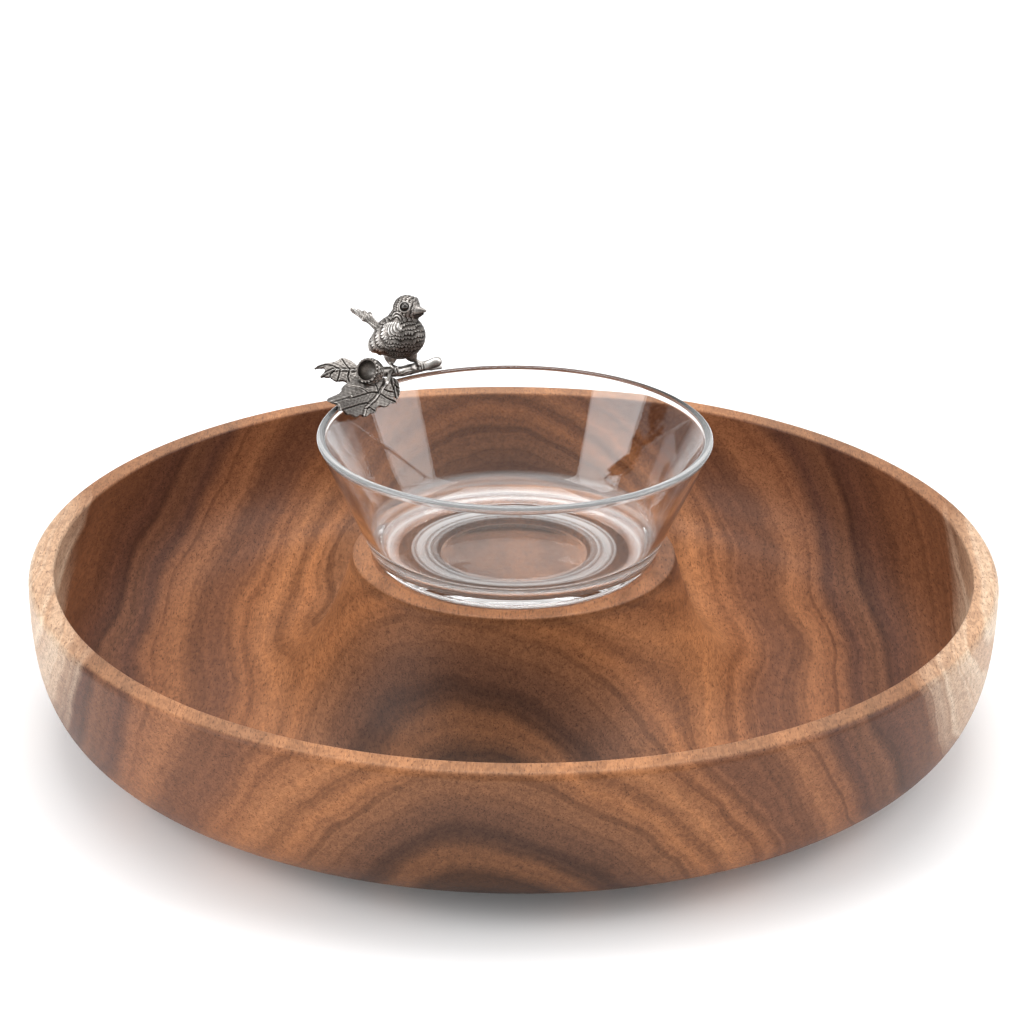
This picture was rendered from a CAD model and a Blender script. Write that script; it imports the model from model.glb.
import math

import bpy
import numpy as np
from mathutils import Matrix, Vector


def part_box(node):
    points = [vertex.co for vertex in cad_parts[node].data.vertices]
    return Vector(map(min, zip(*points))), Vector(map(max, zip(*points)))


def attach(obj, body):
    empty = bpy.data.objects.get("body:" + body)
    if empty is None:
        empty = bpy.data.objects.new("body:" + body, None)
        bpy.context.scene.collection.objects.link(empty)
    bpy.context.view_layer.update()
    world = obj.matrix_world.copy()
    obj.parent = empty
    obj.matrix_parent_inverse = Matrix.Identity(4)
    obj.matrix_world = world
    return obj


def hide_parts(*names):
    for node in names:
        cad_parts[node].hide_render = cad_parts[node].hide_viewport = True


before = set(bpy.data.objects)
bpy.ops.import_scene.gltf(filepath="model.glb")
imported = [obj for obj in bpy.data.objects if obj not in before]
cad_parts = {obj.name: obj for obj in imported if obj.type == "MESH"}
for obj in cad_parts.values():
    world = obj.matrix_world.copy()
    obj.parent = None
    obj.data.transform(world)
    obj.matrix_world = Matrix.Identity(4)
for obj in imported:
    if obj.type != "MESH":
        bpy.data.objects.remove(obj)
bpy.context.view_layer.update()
MM = 0.001


# ---------------------------------------------------------------- helpers
def curve_points(poles, steps):
    """Points along a Bezier curve of any order, as (radius, height) pairs, without its first point."""
    points = []
    for i in range(1, steps + 1):
        t = i / steps
        level = np.array(poles, float)
        while len(level) > 1:
            level = level[:-1] * (1 - t) + level[1:] * t
        points.append(level[0])
    return points


def straight(a, b, steps):
    """Evenly spaced points from a to b, without a."""
    a, b = np.array(a, float), np.array(b, float)
    return [a + (b - a) * (i / steps) for i in range(1, steps + 1)]


def link(name, data):
    obj = bpy.data.objects.new(name, data)
    bpy.context.scene.collection.objects.link(obj)
    return obj


def mesh_object(name, verts, faces):
    mesh = bpy.data.meshes.new(name)
    mesh.from_pydata([tuple(v) for v in verts], [], faces)
    mesh.validate()
    mesh.update()
    mesh.polygons.foreach_set("use_smooth", [True] * len(mesh.polygons))
    return link(name, mesh)


def lathe(name, profile, segments):
    """Closed surface turned about +Z from (radius, height) points that start and end on the axis."""
    first, last = profile[0], profile[-1]
    ring = profile[1:-1]
    verts = [(0, 0, first[1])]
    for r, z in ring:
        for k in range(segments):
            a = 2 * math.pi * k / segments
            verts.append((r * math.cos(a), r * math.sin(a), z))
    verts.append((0, 0, last[1]))
    faces = []
    for k in range(segments):
        n = (k + 1) % segments
        faces.append((0, 1 + n, 1 + k))
        for i in range(len(ring) - 1):
            a, b = 1 + i * segments, 1 + (i + 1) * segments
            faces.append((a + k, a + n, b + n, b + k))
        a = 1 + (len(ring) - 1) * segments
        faces.append((a + k, a + n, len(verts) - 1))
    return mesh_object(name, verts, faces)


BLACK = (0.0, 0.0, 0.0)
WHITE = (1.0, 1.0, 1.0)


def grey(value):
    return (value, value, value)


class Nodes:
    """Short way to write a material's node tree."""

    def __init__(self, name):
        self.mat = bpy.data.materials.new(name)
        self.mat.use_nodes = True
        self.tree = self.mat.node_tree
        self.tree.nodes.clear()
        self.out = self.tree.nodes.new("ShaderNodeOutputMaterial")

    def add(self, kind, props=None, **inputs):
        node = self.tree.nodes.new("ShaderNode" + kind)
        for key, value in (props or {}).items():
            setattr(node, key, value)
        for key, value in inputs.items():
            self.put(node, key.replace("_", " "), value)
        return node

    def put(self, node, key, value):
        socket = node.inputs[int(key[1:])] if key[0] == "i" and key[1:].isdigit() else node.inputs[key]
        if isinstance(value, bpy.types.NodeSocket):
            self.tree.links.new(value, socket)
        elif isinstance(value, bpy.types.Node):
            self.tree.links.new(value.outputs[0], socket)
        else:
            socket.default_value = value

    def math(self, op, a, b=0.0, c=0.0):
        return self.add("Math", {"operation": op}, i0=a, i1=b, i2=c).outputs[0]

    def mix(self, factor, a, b, blend="MIX"):
        node = self.tree.nodes.new("ShaderNodeMix")
        node.data_type = "RGBA"
        node.blend_type = blend
        self.put(node, "i0", factor)
        self.put(node, "i6", a)
        self.put(node, "i7", b)
        return node.outputs[2]

    def ramp(self, factor, stops, interpolation="LINEAR"):
        node = self.add("ValToRGB", None, Fac=factor)
        band = node.color_ramp
        band.interpolation = interpolation
        while len(band.elements) < len(stops):
            band.elements.new(0.5)
        for element, (place, colour) in zip(band.elements, stops):
            element.position = place
            element.color = (*colour, 1) if len(colour) == 3 else colour
        return node.outputs[0]

    def step(self, factor, start, end):
        """Mask that goes from 0 at start to 1 at end."""
        return self.ramp(factor, [(start, BLACK), (end, WHITE)])

    def noise(self, vector, scale, detail=2.0, rough=0.5, distortion=0.0):
        settings = {"Scale": scale, "Detail": detail, "Roughness": rough, "Distortion": distortion}
        return self.add("TexNoise", None, Vector=vector, **settings).outputs[0]

    def stretched(self, vector, stretch):
        """The same place with its Y scaled, so that a pattern is drawn out along the log."""
        return self.add("Mapping", None, Vector=vector, Scale=(1.0, stretch, 1.0)).outputs[0]

    def shifted(self, vector, shift):
        return self.add("VectorMath", {"operation": "ADD"}, i0=vector, i1=shift).outputs[0]

    def finish(self, shader):
        self.put(self.out, "Surface", shader)
        return self.mat


# ---------------------------------------------------------------- sizes from the frame
tray_low, tray_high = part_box("wood_tray")
bowl_low, bowl_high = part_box("glass_bowl")
TRAY_R = tray_high.x
DECK_Z = tray_high.z
RIM_Z = DECK_Z - 0.7 * MM
FLARE = math.radians(24.3)
RIM_CLIP_AZIMUTH = math.radians(143.0)
UP = np.array((0.0, 0.0, 1.0))


# ---------------------------------------------------------------- tray
def tray_profile():
    """Half section of the tray: underside, outer wall, rim, trough, pedestal and the recess for the bowl."""
    foot = 108.0
    belly = TRAY_R / MM
    rim_in = 192.5
    rim_z = RIM_Z / MM
    trough_z = tray_low.z / MM + 11.0
    trough_out, trough_in = 140.0, 118.0
    deck_r = 68.2
    deck_z = DECK_Z / MM
    seat_r = 60.0
    seat_z = deck_z - 3.0
    p = [(0, 0)]
    p += straight((0, 0), (foot, 0), 8)
    p += curve_points([(foot, 0), (190.44, 0), (belly, 8.92), (belly, rim_z - 3.4)], 40)
    p += curve_points([(belly, rim_z - 3.4), (belly, rim_z - 0.9), (belly - 2.3, rim_z)], 8)
    p += straight((belly - 2.3, rim_z), (rim_in + 1.5, rim_z), 4)
    p += curve_points([(rim_in + 1.5, rim_z), (rim_in, rim_z), (rim_in, rim_z - 1.5)], 6)
    p += curve_points([(rim_in, rim_z - 1.5), (rim_in, 20.0), (180.0, trough_z), (trough_out, trough_z)], 44)
    p += straight((trough_out, trough_z), (trough_in, trough_z), 6)
    p += curve_points([(trough_in, trough_z), (84.0, trough_z), (74.0, 50.0), (deck_r, deck_z - 1.2)], 40)
    p += curve_points([(deck_r, deck_z - 1.2), (deck_r, deck_z), (deck_r - 1.2, deck_z)], 6)
    p += straight((deck_r - 1.2, deck_z), (seat_r + 0.3, deck_z), 4)
    p += curve_points([(seat_r + 0.3, deck_z), (seat_r, deck_z), (seat_r, deck_z - 0.3)], 3)
    p += straight((seat_r, deck_z - 0.3), (seat_r, seat_z + 0.2), 3)
    p += curve_points([(seat_r, seat_z + 0.2), (seat_r, seat_z), (seat_r - 0.2, seat_z)], 2)
    p += straight((seat_r - 0.2, seat_z), (0, seat_z), 8)
    return [(r * MM, z * MM) for r, z in p]


def shade(red, green, blue):
    """Linear colour from the 0-255 values seen on a lit face."""
    return tuple(((v / 255 + 0.055) / 1.055) ** 2.4 for v in (red, green, blue))


# tone of the wood by distance from the heart of the log, in millimetres
RING_TONES = [
    (18, shade(60, 37, 24)),
    (36, shade(80, 50, 31)),
    (48, shade(124, 81, 52)),
    (60, shade(82, 53, 38)),
    (68, shade(112, 75, 54)),
    (80, shade(140, 94, 64)),
    (90, shade(158, 104, 67)),
    (103, shade(168, 112, 73)),
    (112, shade(158, 103, 67)),
    (124, shade(124, 80, 56)),
    (133, shade(120, 77, 53)),
    (143, shade(156, 103, 69)),
    (151, shade(150, 98, 66)),
    (161, shade(100, 64, 48)),
    (170, shade(118, 77, 54)),
    (179, shade(96, 60, 44)),
    (196, shade(120, 76, 50)),
]
RING_SPAN = 0.220

# the log's heart lies under the tray, nearly parallel to Y: its place at Y = 0, and its lean per metre of Y
HEART_X, HEART_Z = -0.009, -0.023
HEART_LEAN_X, HEART_LEAN_Z = 0.015, -0.035

PALE_SAP = (*shade(192, 158, 130), 1)
PALEST_SAP = (*shade(216, 194, 170), 1)
SANDED = (*shade(206, 152, 108), 1)
UNDER_BOWL = (0.60, 0.61, 0.66, 1)


def wander(n, place, scale, stretch, reach, detail=1.0):
    """Random shift across the log by up to half of reach, in metres. Nothing moves along the log."""
    field = n.add("TexNoise", None, Vector=n.stretched(place, stretch), Scale=scale, Detail=detail)
    centred = n.add("VectorMath", {"operation": "SUBTRACT"}, i0=field.outputs["Color"], i1=grey(0.5))
    sideways = (reach, 0.0, reach)
    return n.add("VectorMath", {"operation": "MULTIPLY"}, i0=centred, i1=sideways).outputs[0]


def ring_distance(n, place, along):
    """Distance from the log's heart, with rings that wander about it."""
    slow = n.shifted(place, wander(n, place, 7.0, 1.2, 0.038))
    bent = n.shifted(slow, wander(n, place, 34.0, 0.35, 0.0105, 2.5))
    grain = n.add("SeparateXYZ", None, Vector=bent).outputs
    x = n.math("ADD", n.math("MULTIPLY_ADD", along, -HEART_LEAN_X, -HEART_X), grain[0])
    z = n.math("ADD", n.math("MULTIPLY_ADD", along, -HEART_LEAN_Z, -HEART_Z), grain[2])
    return n.math("SQRT", n.math("ADD", n.math("MULTIPLY", x, x), n.math("MULTIPLY", z, z)))


def heartwood(n, place, rho, years):
    """The main bands, with darker and paler years in them that fade in and out along the log."""
    bands = [(r * MM / RING_SPAN, colour) for r, colour in RING_TONES]
    tone = n.ramp(n.math("MULTIPLY", rho, 1 / RING_SPAN), bands, "EASE")
    patch = n.noise(n.stretched(place, 0.4), 11.0)
    strength = n.math("MULTIPLY", n.ramp(patch, [(0.35, grey(0.30)), (0.65, WHITE)]), 0.95)
    shaded = n.ramp(years, [
        (0.28, (0.50, 0.45, 0.42)), (0.46, (0.88, 0.86, 0.84)), (0.56, WHITE), (0.74, (1.24, 1.22, 1.16)),
    ])
    return n.mix(strength, tone, shaded, "MULTIPLY")


def add_sapwood(n, colour, rho, years, across, along):
    """Pale sapwood outside the heartwood, wider towards the front."""
    edge = n.math("ADD", n.math("MULTIPLY_ADD", along, -0.15, rho), n.math("MULTIPLY", across, -0.04))
    edge = n.math("ADD", edge, n.math("MULTIPLY", n.math("SUBTRACT", years, 0.5), 0.012))
    share = n.ramp(n.math("MULTIPLY", edge, 4.0), [(0.812, BLACK), (0.850, grey(0.72)), (0.90, WHITE)])
    sap = n.mix(n.step(years, 0.35, 0.65), PALE_SAP, PALEST_SAP)
    return n.mix(share, colour, sap)


def add_turned_tops(n, colour, place, height):
    """The tops of rim and pedestal are sanded paler, and the pedestal is dimmed under the glass."""
    decimetres = n.math("MULTIPLY", height, 10.0)
    from_middle = n.add("VectorMath", {"operation": "LENGTH"}, i0=place).outputs["Value"]
    paler = n.ramp(from_middle, [(0.12, grey(0.10)), (0.18, grey(0.32))])
    colour = n.mix(n.math("MULTIPLY", n.step(decimetres, 0.6935, 0.6985), paler), colour, SANDED)
    in_middle = n.ramp(from_middle, [(0.072, WHITE), (0.125, BLACK)])
    dimmed = n.math("MULTIPLY", n.step(decimetres, 0.655, 0.672), in_middle)
    return n.mix(dimmed, colour, UNDER_BOWL, "MULTIPLY")


def add_fibres(n, colour, place, streak):
    """Fibres, curl and open pores."""
    fibre = n.ramp(streak, [(0.34, (0.62, 0.58, 0.55)), (0.52, WHITE), (0.70, (1.12, 1.12, 1.10))])
    colour = n.mix(0.55, colour, fibre, "MULTIPLY")
    curl = n.noise(n.stretched(place, 0.45), 420.0, 2.0, 0.55, 1.2)
    waves = n.ramp(curl, [(0.38, (0.66, 0.62, 0.60)), (0.58, (1.10, 1.10, 1.08))])
    colour = n.mix(0.6, colour, waves, "MULTIPLY")
    pores = n.noise(n.stretched(place, 0.16), 1900.0, 1.0, 0.4)
    ticks = n.ramp(pores, [(0.625, WHITE), (0.68, (0.40, 0.34, 0.31))])
    return n.mix(0.8, colour, ticks, "MULTIPLY")


def wood_material():
    n = Nodes("acacia")
    place = n.add("TexCoord").outputs["Object"]
    across, along, height = n.add("SeparateXYZ", None, Vector=place).outputs
    rho = ring_distance(n, place, along)
    line = {"noise_dimensions": "1D"}
    years = n.add("TexNoise", line, W=rho, Scale=150.0, Detail=4.0, Roughness=0.62).outputs[0]
    streak = n.noise(n.stretched(place, 0.11), 1300.0, 3.0, 0.6, 0.4)
    colour = heartwood(n, place, rho, years)
    colour = add_sapwood(n, colour, rho, years, across, along)
    colour = add_turned_tops(n, colour, place, height)
    colour = add_fibres(n, colour, place, streak)
    bump = n.add("Bump", None, Strength=0.22, Distance=0.0003, Height=streak)
    shader = n.add("BsdfPrincipled", None, Base_Color=colour, Specular_IOR_Level=0.24, Normal=bump)
    n.put(shader, "Roughness", n.math("MULTIPLY_ADD", streak, 0.18, 0.36))
    return n.finish(shader)


# ---------------------------------------------------------------- glass bowl
def bowl_profile():
    """Half section of the bowl: hollow underside, foot, flared wall, round rim and flat inside."""
    slope = math.tan(FLARE)
    wall = 3.3
    rim_centre = 57.0 - wall / 2
    hollow = 1.4
    bottom = 6.0
    outer0 = 82.4 - slope * rim_centre
    inner0 = outer0 - wall / math.cos(FLARE)

    def out(z):
        return (outer0 + slope * z, z)

    def inn(z):
        return (inner0 + slope * z, z)

    p = [(0, hollow)]
    p += curve_points([(0, hollow), (18.6, hollow), (31.0, 0)], 14)
    p += straight((31.0, 0), (50.0, 0), 4)
    p += curve_points([(50.0, 0), (outer0, 0), out(6.0)], 14)
    p += straight(out(6.0), out(rim_centre), 30)
    mid_r = (out(rim_centre)[0] + inn(rim_centre)[0]) / 2
    half = (out(rim_centre)[0] - inn(rim_centre)[0]) / 2
    for i in range(1, 15):
        a = math.pi * i / 14
        p.append((mid_r + half * math.cos(a), rim_centre + wall / 2 * math.sin(a)))
    p += straight(inn(rim_centre), inn(16.0), 26)
    p += curve_points([inn(16.0), inn(bottom), (41.8, bottom)], 18)
    p += straight((41.8, bottom), (0, bottom), 8)
    return [(r * MM, z * MM + bowl_low.z) for r, z in p]


def milky_parts(n, place):
    """Light collects in the rounded rim, the heel and the moulded rings of the base, which look milky."""
    x, y, z = n.add("SeparateXYZ", None, Vector=place).outputs
    rise = n.math("MULTIPLY", n.math("SUBTRACT", z, bowl_low.z), 10.0)
    radius = n.math("SQRT", n.math("ADD", n.math("MULTIPLY", x, x), n.math("MULTIPLY", y, y)))
    front = n.ramp(n.math("MULTIPLY_ADD", y, 5.0, 0.5), [(0.45, WHITE), (0.72, BLACK)])
    in_rim = n.math("MULTIPLY", n.ramp(rise, [(0.535, BLACK), (0.553, grey(0.26))]), front)
    rings = n.ramp(n.math("MULTIPLY", radius, 20.0), [
        (0.640, BLACK), (0.665, grey(0.22)), (0.700, grey(0.12)), (0.716, grey(0.50)), (0.742, grey(0.14)),
        (0.765, grey(0.46)), (0.815, grey(0.52)), (0.838, grey(0.10)), (0.855, grey(0.42)), (0.875, BLACK),
    ])
    low_down = n.ramp(rise, [(0.07, WHITE), (0.10, BLACK)])
    fainter_in_front = n.math("MULTIPLY_ADD", front, -0.45, 1.0)
    in_base = n.math("MULTIPLY", n.math("MULTIPLY", rings, low_down), fainter_in_front)
    heel = n.ramp(n.math("MULTIPLY", rise, 5.0), [
        (0.00, BLACK), (0.06, grey(0.38)), (0.12, grey(0.05)), (0.20, grey(0.30)), (0.30, grey(0.04)),
        (0.42, grey(0.20)), (0.50, BLACK), (0.62, grey(0.14)), (0.72, BLACK),
    ])
    in_heel = n.math("MULTIPLY", heel, n.step(n.math("MULTIPLY", radius, 10.0), 0.485, 0.505))
    return n.math("ADD", in_rim, n.math("ADD", in_base, in_heel))


def glass_material():
    """Clear glass that shadows and rays caught in its walls pass straight through."""
    n = Nodes("clear_glass")
    place = n.add("TexCoord").outputs["Object"]
    glass = n.add("BsdfPrincipled", None, Base_Color=(0.992, 0.996, 0.996, 1), IOR=1.5)
    n.put(glass, "Transmission Weight", n.math("SUBTRACT", 1.0, milky_parts(n, place)))
    n.put(glass, "Roughness", n.math("MULTIPLY", n.noise(place, 40.0), 0.012))
    ripple = n.noise(place, 22.0, 1.0)
    n.put(glass, "Normal", n.add("Bump", None, Strength=0.05, Distance=0.0006, Height=ripple))
    clear = n.add("BsdfTransparent", None, Color=(0.97, 0.975, 0.975, 1))
    path = n.add("LightPath").outputs
    trapped = n.math("GREATER_THAN", path["Transmission Depth"], 5.5)
    through = n.math("MAXIMUM", path["Is Shadow Ray"], trapped)
    return n.finish(n.add("MixShader", None, i0=through, i1=glass, i2=clear))


def pewter_material(name="pewter", marked=True):
    """Cast pewter: blackened in the recesses that the sculpting marks, burnished on the highs."""
    n = Nodes(name)
    place = n.add("TexCoord").outputs["Object"]
    relief = n.add("Attribute", {"attribute_name": "relief"}).outputs["Fac"] if marked else 0.5
    point = n.add("NewGeometry").outputs["Pointiness"]
    cast = n.noise(place, 2200.0, 3.0)
    worn = n.math("ADD", relief, n.math("MULTIPLY", n.math("SUBTRACT", point, 0.5), 2.2))
    worn = n.math("ADD", worn, n.math("MULTIPLY", n.math("SUBTRACT", cast, 0.5), 0.45))
    tone = n.ramp(worn, [
        (0.10, (0.018, 0.015, 0.013)),
        (0.36, (0.115, 0.102, 0.092)),
        (0.58, (0.300, 0.276, 0.255)),
        (0.82, (0.560, 0.530, 0.500)),
        (1.00, (0.780, 0.760, 0.730)),
    ])
    bump = n.add("Bump", None, Strength=0.25, Distance=0.0001, Height=cast)
    shader = n.add("BsdfPrincipled", None, Metallic=1.0, Base_Color=tone, Normal=bump)
    n.put(shader, "Roughness", n.math("MULTIPLY_ADD", worn, -0.22, 0.50))
    return n.finish(shader)


def bead_material():
    n = Nodes("polished_bead")
    place = n.add("TexCoord").outputs["Object"]
    tone = n.ramp(n.noise(place, 900.0), [(0.3, (0.085, 0.080, 0.076)), (0.7, (0.125, 0.118, 0.110))])
    return n.finish(n.add("BsdfPrincipled", None, Metallic=1.0, Roughness=0.06, Base_Color=tone))


def liner_material():
    n = Nodes("clear_vinyl")
    place = n.add("TexCoord").outputs["Object"]
    tone = n.ramp(n.noise(place, 300.0), [(0.3, (0.70, 0.70, 0.69)), (0.7, (0.80, 0.80, 0.79))])
    return n.finish(n.add("BsdfPrincipled", None, Roughness=0.35, Base_Color=tone))


PEWTER = pewter_material()


# ---------------------------------------------------------------- sculpted pewter
def unit(v):
    v = np.array(v, float)
    return v / np.linalg.norm(v)


def smooth(low, high, v):
    t = np.clip((v - low) / (high - low), 0, 1)
    return t * t * (3 - 2 * t)


def line_distance(uv, points):
    """Distance from each point to an open polyline, and how far along it (0 to 1) the nearest spot is."""
    best = np.full(len(uv), 1e9)
    share = np.zeros(len(uv))
    points = np.array(points, float)
    for i in range(len(points) - 1):
        a, b = points[i], points[i + 1]
        d = b - a
        t = np.clip((uv - a) @ d / (d @ d), 0, 1)
        gap = np.linalg.norm(uv - a - t[:, None] * d, axis=1)
        nearer = gap < best
        best[nearer] = gap[nearer]
        share[nearer] = (i + t[nearer]) / (len(points) - 1)
    return best, share


def feathers(u, v, length, width):
    """Overlapping feathers laid along u: 1 on a feather's raised end, 0 in the groove behind its tip."""
    row = np.floor(u / length)
    fu = u / length - row
    fv = v / width + 0.5 * (row % 2) + 0.23 * np.sin(row * 7.3)
    column = np.floor(fv)
    fv = fv - column - 0.5
    chance = np.sin(row * 12.99 + column * 78.23) * 437.58
    chance = chance - np.floor(chance)
    tip = 1.0 - 2.0 * fv * fv - 0.26 * chance
    on = fu < tip
    rise = np.where(on, 0.35 + 0.65 * fu / tip, 0.15)
    groove = smooth(0.0, 0.16, np.abs(fu - tip))
    side = smooth(0.5, 0.36, np.abs(fv))
    return rise * groove * (0.45 + 0.55 * side) * (0.90 + 0.30 * chance)


def grooves(w, pitch):
    return 0.5 + 0.5 * np.cos(2 * math.pi * w / pitch)


def hill(distance, width):
    return np.exp(-((distance / width) ** 2))


def blend(a, b, share):
    return a * (1 - share) + b * share


def sculpt(node, relief, voxel):
    """Fine skin over a CAD node's shape, worked in millimetres.

    relief(points, normals) gives how far each point moves out, in millimetres, and its tone from 0 to 1.
    """
    rough = link(node + "_rough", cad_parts[node].data.copy())
    rough.data.transform(Matrix.Scale(1 / MM, 4))
    remesh = rough.modifiers.new("skin", "REMESH")
    remesh.mode = "VOXEL"
    remesh.voxel_size = voxel
    relax = rough.modifiers.new("relax", "SMOOTH")
    relax.iterations = 2
    shape = bpy.data.meshes.new_from_object(rough.evaluated_get(bpy.context.evaluated_depsgraph_get()))
    bpy.data.objects.remove(rough)
    count = len(shape.vertices)
    points = np.empty(count * 3)
    normals = np.empty(count * 3)
    shape.vertices.foreach_get("co", points)
    shape.vertices.foreach_get("normal", normals)
    points, normals = points.reshape(-1, 3), normals.reshape(-1, 3)
    height, tone = relief(points, normals)
    points = (points + normals * height[:, None]) * MM
    shape.vertices.foreach_set("co", points.ravel())
    relief_tone = shape.attributes.new("relief", "FLOAT", "POINT")
    relief_tone.data.foreach_set("value", np.clip(tone, 0, 1).astype(np.float32))
    shape.polygons.foreach_set("use_smooth", [True] * len(shape.polygons))
    shape.update()
    shape.materials.clear()
    shape.materials.append(PEWTER)
    shape.name = node + "_cast"
    obj = link(node + "_cast", shape)
    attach(obj, "ornament")
    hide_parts(node)


def middle(node):
    low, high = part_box(node)
    return np.array((low + high) / 2) / MM


# the bird faces FORWARD and turns its right side, SIDE, to the front; middles of its head, body and rump
FORWARD = unit((0.89, -0.456, 0))
SIDE = unit((-0.456, -0.89, 0))
HEAD = middle("bird_eyes") - FORWARD * 1.74 - UP * 2.85
BODY = HEAD + np.array((-3.4, 0.0, -12.6))
RUMP = BODY - FORWARD * 8.4 - UP * 5.0


def plain(points, normals):
    """Worn casting with a dark underside."""
    lit = smooth(-0.9, 0.6, normals[:, 2])
    return np.zeros(len(points)), 0.30 + 0.42 * lit


def head_feathers(ahead, up, right, to_head):
    """Short feathers that run back from the beak, with curved rows on the cheek round the ear."""
    polar = np.arccos(np.clip(ahead / to_head, -1, 1))
    turn = np.arctan2(up, np.abs(right))
    crown = feathers(polar * 6.1 + 0.2 * np.sin(turn * 9.0), turn * 4.6, 1.7, 0.85)
    ear_ahead, ear_up = ahead + 1.6, up + 2.9
    ring = np.hypot(ear_ahead, ear_up)
    cheek = grooves(ring + 0.5 * np.arctan2(ear_up, ear_ahead), 1.25)
    on_cheek = smooth(3.9, 3.2, ring) * smooth(1.5, 3.0, np.abs(right))
    return blend(crown, cheek, on_cheek)


def breast_feathers(points):
    """Feathers in rows that hang down over the breast and the belly."""
    body = points - BODY
    from_top = np.arccos(np.clip(body @ UP / np.linalg.norm(body, axis=1), -1, 1))
    turn = np.arctan2(body @ SIDE, body @ FORWARD)
    sway = 0.25 * np.sin(points[:, 0] * 1.3) + 0.25 * np.sin(points[:, 2] * 1.7 + points[:, 1])
    return feathers(from_top * 10.0 + sway, turn * 9.0 + 0.6 * sway, 1.75, 1.2)


def rump_folds(points):
    """Long curved feather edges on the back of the rump, and the share of each point that they take."""
    rump = points - RUMP
    back = -(rump @ FORWARD)
    sweep = rump @ UP + 0.10 * back * back - 0.22 * np.abs(rump @ SIDE)
    on_rump = smooth(6.6, 5.6, np.linalg.norm(rump, axis=1)) * smooth(-0.5, 1.5, back)
    return grooves(sweep + 0.3, 1.55), on_rump


def cut_eye_socket(points, side, height, tone):
    """A dark pit with one ring of skin round it."""
    way = unit(FORWARD * 0.30 + SIDE * 0.82 * side + UP * 0.49)
    gap = np.linalg.norm(points - (HEAD + way * 5.4), axis=1)
    lid = hill(gap - 2.25, 0.30)
    beyond = smooth(1.9, 3.0, gap)
    pit = smooth(2.1, 1.7, gap)
    return height * beyond + 0.28 * lid, (tone * beyond + 0.85 * lid) * (1 - pit)


def cut_beak(ahead, up, height, tone):
    """A plain beak with a mouth line and a darker lower half."""
    on_beak = smooth(5.0, 5.7, ahead) * smooth(-4.5, -3.6, up)
    gape = up + 1.0 - 0.2 * (ahead - 5.0)
    mouth = hill(gape, 0.22)
    bill = 0.75 - 0.45 * (gape < 0) - 0.6 * mouth
    return blend(height, -0.18 * mouth, on_beak), blend(tone, bill, on_beak)


def bird_relief(points, normals):
    head = points - HEAD
    to_head = np.linalg.norm(head, axis=1)
    ahead, up, right = head @ FORWARD, head @ UP, head @ SIDE
    on_head = smooth(7.6, 6.6, to_head) * smooth(-4.6, -2.6, up)
    folds, on_rump = rump_folds(points)
    tone = blend(breast_feathers(points), head_feathers(ahead, up, right, to_head), on_head)
    tone = blend(tone, folds, on_rump)
    height = (tone - 0.6) * blend(0.42, 0.26, on_head)
    for side in (1, -1):
        height, tone = cut_eye_socket(points, side, height, tone)
    height, tone = cut_beak(ahead, up, height, tone)
    # the patina settles on the throat, the belly and the shaded front
    throat = smooth(3.4, 0.6, np.linalg.norm(head - FORWARD * 3.9 + UP * 5.2, axis=1))
    belly = 1 - smooth(-10.0, 4.0, (points - BODY) @ UP)
    front = smooth(2.0, 9.0, (points - BODY) @ FORWARD) * (1 - on_head)
    tone = tone * (1 - 0.6 * throat) * (1 - 0.38 * belly) * (1 - 0.28 * front)
    return height, 0.08 + 0.74 * tone


def wing_relief(side):
    """Long coverts behind a cape of rounded rows on the shoulder."""
    centre = BODY + SIDE * side * 6.6 - FORWARD * 3.0 + UP
    long_axis = unit(-0.72 * FORWARD - 0.62 * UP)

    def relief(points, normals):
        q = points - centre
        along = q @ long_axis + 11.0
        across = q @ unit(np.cross(SIDE * side, long_axis))
        coverts = feathers(along + 0.10 * across * across, across, 3.7, 1.25)
        cape = grooves(along + 0.16 * across * across, 1.5)
        share = smooth(5.5, 8.0, along)
        tone = blend(0.35 + 0.65 * cape, coverts, share)
        return (tone - 0.6) * 0.34, 0.22 + 0.78 * tone

    return relief


def tail_relief(points, normals):
    """Barbs that slant off a shaft on each feather."""
    q = points - BODY
    run = q @ unit((-12.38, 4.85, 9.3))
    across = q @ SIDE
    barbs = grooves(run * 0.8 + across * 1.2, 0.9)
    feather = across / 1.9
    shaft = hill(feather - np.round(feather), 0.14)
    tone = 0.35 + 0.25 * barbs + 0.45 * shaft
    tone = tone * (0.45 + 0.55 * smooth(5.0, 14.0, run))
    return (barbs - 0.5) * 0.10 + 0.06 * shaft, tone


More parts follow.
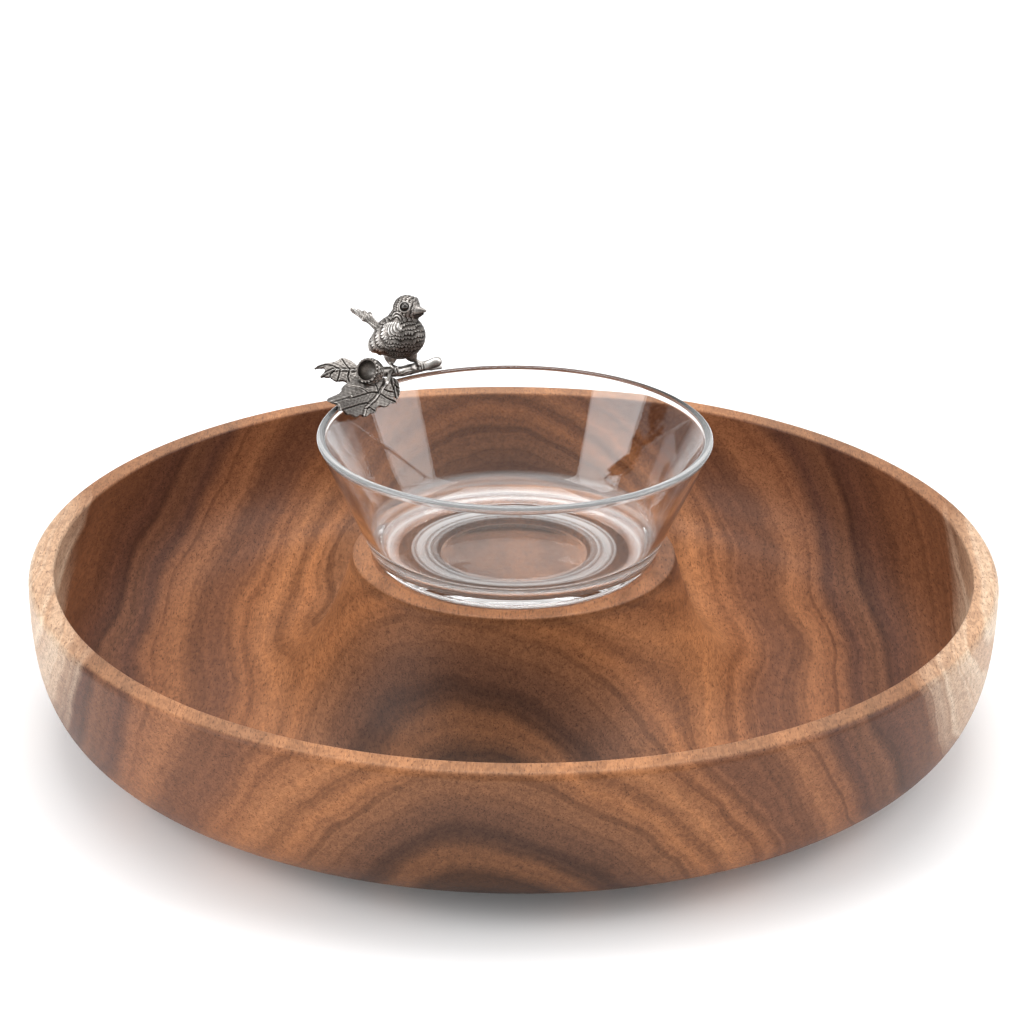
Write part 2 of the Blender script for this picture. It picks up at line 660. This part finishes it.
def leaf_relief(origin, x_axis, y_axis, veins, edge_veins, wrinkle):
    """Raised midrib (veins), sunk side veins (edge_veins) and a soft swell between them.

    Veins are polylines in the leaf's own plane, in millimetres along x_axis and y_axis from its origin.
    """
    x_axis, y_axis = unit(x_axis), unit(y_axis)

    def relief(points, normals):
        q = points - origin
        uv = np.stack([q @ x_axis, q @ y_axis], 1)
        height = np.zeros(len(uv))
        tone = np.full(len(uv), 0.42)
        nearest = np.full(len(uv), 9.0)
        for path in edge_veins:
            gap, _ = line_distance(uv, path)
            cut = hill(gap, 0.30)
            lip = hill(gap - 0.62, 0.26)
            height += -0.30 * cut + 0.12 * lip
            tone += -0.27 * cut + 0.13 * lip
            nearest = np.minimum(nearest, gap)
        for path in veins:
            gap, share = line_distance(uv, path)
            ridge = hill(gap, 0.34) * (1 - 0.4 * share)
            dip = hill(gap - 0.85, 0.32)
            height += 0.42 * ridge - 0.18 * dip
            tone += 0.36 * ridge - 0.19 * dip
            nearest = np.minimum(nearest, gap)
        swell = smooth(0.4, 3.0, nearest)
        fine = np.sin(uv[:, 0] * wrinkle + 2.0 * np.sin(uv[:, 1] * 0.9)) * np.sin(uv[:, 1] * wrinkle * 1.3)
        height += 0.22 * swell + 0.05 * fine
        tone += 0.06 * fine + 0.07 * swell
        tone *= 0.55 + 0.45 * smooth(-0.6, 0.4, normals[:, 2])
        return height, tone

    return relief


def cup_relief(points, normals):
    """Scaly ribs on the outside, a toothed lip and a dark hollow."""
    ribs = 20
    axis = unit((-0.46, -0.76, 0.46))
    centre = middle("acorn_cup") + axis * 4.2
    q = points - centre
    depth = q @ axis
    flat = q - depth[:, None] * axis
    radius = np.linalg.norm(flat, axis=1)
    first = unit(np.cross(axis, UP))
    turn = np.arctan2(flat @ np.cross(axis, first), flat @ first)
    outside = smooth(-0.1, 0.25, np.einsum("ij,ij->i", normals, flat / np.maximum(radius, 1e-6)[:, None]))
    scales = feathers(-depth + 20.0, turn * 4.4, 2.0, 4.4 * 2 * math.pi / ribs)
    lip = smooth(-1.1, -0.4, depth)
    teeth = grooves(turn * ribs / (2 * math.pi), 1.0)
    height = outside * (1 - lip) * (scales - 0.5) * 0.45 + lip * (teeth - 0.4) * 0.40
    tone = blend(0.30 + 0.35 * smooth(-2.0, -6.0, depth), 0.10 + 0.75 * scales, outside)
    tone = blend(tone, 0.45 + 0.5 * teeth, lip)
    return height, tone


def branch_relief(points, normals):
    """Smooth bark with long shallow furrows and a burnished top."""
    low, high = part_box("branch")
    run = unit(np.array(high - low) * (1, 1, 0))
    q = points - middle("branch")
    along = q @ run
    turn = np.arctan2(q[:, 2] + 0.02 * along * along, q @ np.cross(run, UP))
    furrow = grooves(turn * 2.2 + 0.6 * np.sin(along * 0.35), 1.4)
    knots = hill(along - 4.5, 0.7)
    tone = 0.30 + 0.30 * smooth(-0.5, 0.9, normals[:, 2]) + 0.25 * furrow - 0.2 * knots
    return (furrow - 0.5) * 0.12 + 0.15 * knots, tone


def rim_leaf_relief():
    """Veins of the leaf over the rim, measured along the rim and up the glass from the rim's top."""
    radial = np.array((math.cos(RIM_CLIP_AZIMUTH), math.sin(RIM_CLIP_AZIMUTH), 0.0))
    along_rim = np.array((math.sin(RIM_CLIP_AZIMUTH), -math.cos(RIM_CLIP_AZIMUTH), 0.0))
    uphill = radial * math.sin(FLARE) + UP * math.cos(FLARE)
    rim_top = radial * 80.7 + UP * bowl_high.z / MM
    midrib = [
        (10.0, 2.0), (9.0, 0.1), (5.2, -1.9), (2.3, -3.4),
        (-1.0, -4.9), (-5.5, -5.9), (-9.0, -6.9), (-11.6, -9.4),
    ]
    side_veins = [
        [(1.3, -2.6), (-2.0, -1.4), (-7.2, -1.0), (-14.6, -0.4), (-19.0, 0.6)],
        [(-5.5, -5.9), (-6.9, -4.9), (-12.1, -4.2), (-18.3, -3.7), (-27.0, -2.9)],
        [(3.1, -3.7), (5.6, -6.2), (10.0, -9.6)],
        [(-9.5, -6.8), (-6.1, -7.2), (-3.6, -9.6)],
        [(-15.3, 0.5), (-21.2, 0.8), (-26.6, 1.3)],
        [(2.0, -3.2), (2.6, 0.5), (1.0, 4.5)],
        [(-4.0, -1.2), (-6.5, 2.5), (-9.0, 4.5)],
        [(5.2, -1.9), (8.0, -4.0), (10.4, -5.2)],
    ]
    return leaf_relief(rim_top, along_rim, uphill, [midrib], side_veins, 2.1)


def left_leaf_relief():
    midrib = [(-9.5, 0.9), (-3.0, 0.6), (2.0, 0.5), (7.0, -2.0)]
    side_veins = [
        [(-5.6, 0.7), (-3.4, 3.4), (-1.6, 6.4)],
        [(-1.4, 0.6), (2.4, 2.8), (5.4, 3.6), (9.6, 2.6)],
        [(-5.0, 0.7), (-4.4, -2.4), (-5.6, -6.4)],
        [(-1.0, 0.5), (-0.6, -1.8), (0.0, -4.4)],
        [(1.2, 0.5), (3.2, -1.6), (3.4, -3.2)],
    ]
    return leaf_relief(middle("left_oak_leaf"), (-1, 0, 0), (0, 0.8, 0.6), [midrib], side_veins, 2.6)


def small_leaf_relief():
    midrib = [(-5.0, 0.3), (0.0, 0.1), (4.6, -0.4)]
    side_veins = [[(-2.0, 0.2), (0.5, 1.6)], [(-1.0, 0.2), (1.5, -1.6)]]
    return leaf_relief(middle("small_oak_leaf"), (0.30, -0.30, -1), (1, 0.5, 0.2), [midrib], side_veins, 3.0)


# ---------------------------------------------------------------- pieces
tray = lathe("tray_turned", tray_profile(), 288)
tray.data.materials.append(wood_material())
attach(tray, "tray")
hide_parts("wood_tray")

bowl = lathe("bowl_blown", bowl_profile(), 224)
bowl.data.materials.append(glass_material())
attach(bowl, "bowl")
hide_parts("glass_bowl")

for node, relief, voxel in (
    ("bird_body", bird_relief, 0.17),
    ("bird_right_wing", wing_relief(1), 0.15),
    ("bird_left_wing", wing_relief(-1), 0.15),
    ("bird_tail", tail_relief, 0.15),
    ("bird_right_leg", plain, 0.12),
    ("bird_left_leg", plain, 0.12),
    ("branch_spur", plain, 0.12),
    ("branch", branch_relief, 0.16),
    ("acorn_cup", cup_relief, 0.15),
    ("rim_oak_leaf", rim_leaf_relief(), 0.17),
    ("left_oak_leaf", left_leaf_relief(), 0.15),
    ("small_oak_leaf", small_leaf_relief(), 0.12),
):
    sculpt(node, relief, voxel)

for node, material in (
    ("bird_eyes", bead_material()),
    ("rim_clip", pewter_material("smooth_pewter", marked=False)),
    ("clip_liner", liner_material()),
):
    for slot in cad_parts[node].material_slots:
        slot.material = material


# ---------------------------------------------------------------- stage, lights and camera
def lay_floor():
    floor = mesh_object("floor", [(-6, -6, 0), (6, -6, 0), (6, 6, 0), (-6, 6, 0)], [(0, 1, 2, 3)])
    floor.location.z = -0.0002
    n = Nodes("pale_floor")
    matte = n.add("BsdfPrincipled", None, Base_Color=(0.93, 0.93, 0.935, 1), Roughness=0.9)
    n.put(matte, "Specular IOR Level", 0.1)
    n.put(matte, "Emission Color", (*WHITE, 1))
    n.put(matte, "Emission Strength", 0.07)
    floor.data.materials.append(n.finish(matte))


def light_room():
    """White room, dimmer in front of the tray and towards the ground."""
    world = bpy.data.worlds.new("studio")
    bpy.context.scene.world = world
    world.use_nodes = True
    tree = world.node_tree
    back = tree.nodes["Background"]
    where = tree.nodes.new("ShaderNodeTexCoord")
    split = tree.nodes.new("ShaderNodeSeparateXYZ")
    tree.links.new(where.outputs["Generated"], split.inputs[0])

    def fade(axis, start, end, low, high):
        node = tree.nodes.new("ShaderNodeMapRange")
        for key, value in (("From Min", start), ("From Max", end), ("To Min", low), ("To Max", high)):
            node.inputs[key].default_value = value
        tree.links.new(split.outputs[axis], node.inputs["Value"])
        return node.outputs[0]

    strength = tree.nodes.new("ShaderNodeMath")
    strength.operation = "MULTIPLY"
    tree.links.new(fade(1, -1.0, 0.5, 0.52, 1.0), strength.inputs[0])
    tree.links.new(fade(2, 0.0, 0.9, 0.40, 1.20), strength.inputs[1])
    tree.links.new(strength.outputs[0], back.inputs["Strength"])
    back.inputs["Color"].default_value = (*WHITE, 1)


def softbox(name, where, aim, width, height, power):
    lamp = bpy.data.lights.new(name, "AREA")
    lamp.shape = "RECTANGLE"
    lamp.size = width
    lamp.size_y = height
    lamp.energy = power
    obj = link(name, lamp)
    obj.location = where
    obj.rotation_mode = "QUATERNION"
    obj.rotation_quaternion = (Vector(aim) - Vector(where)).to_track_quat("-Z", "Y")


def photo_camera():
    """Camera in front of the tray, 23.4 degrees above the level of its rim."""
    distance = 6.5224 * TRAY_R
    lift = math.radians(23.414)
    tilt = lift - math.radians(0.744)
    roll = math.radians(0.537)
    turn = math.radians(-0.045)
    spot = Vector((0, -distance * math.cos(lift), distance * math.sin(lift) + RIM_Z))
    ahead = Vector((math.sin(turn) * math.cos(tilt), math.cos(turn) * math.cos(tilt), -math.sin(tilt)))
    right = ahead.cross(Vector((0, 0, 1))).normalized()
    up = right.cross(ahead)
    rolled_right = right * math.cos(roll) + up * math.sin(roll)
    rolled_up = up * math.cos(roll) - right * math.sin(roll)
    data = bpy.data.cameras.new("camera")
    data.sensor_width = 36.0
    data.lens = 110.27
    data.clip_start = 0.05
    data.clip_end = 50
    camera = link("camera", data)
    facing = Matrix((rolled_right, rolled_up, -ahead)).transposed().to_4x4()
    camera.matrix_world = Matrix.Translation(spot) @ facing
    bpy.context.scene.camera = camera


lay_floor()
light_room()
softbox("left_box", (-1.50, -0.50, 0.85), (0, 0, 0.05), 1.10, 1.30, 15)
softbox("right_box", (1.45, -0.10, 1.00), (0, 0, 0.05), 1.10, 1.30, 12)
softbox("top_box", (0, 0.5, 2.0), (0, 0, 0), 1.6, 1.2, 22)
photo_camera()
bpy.context.scene.view_settings.view_transform = "Standard"
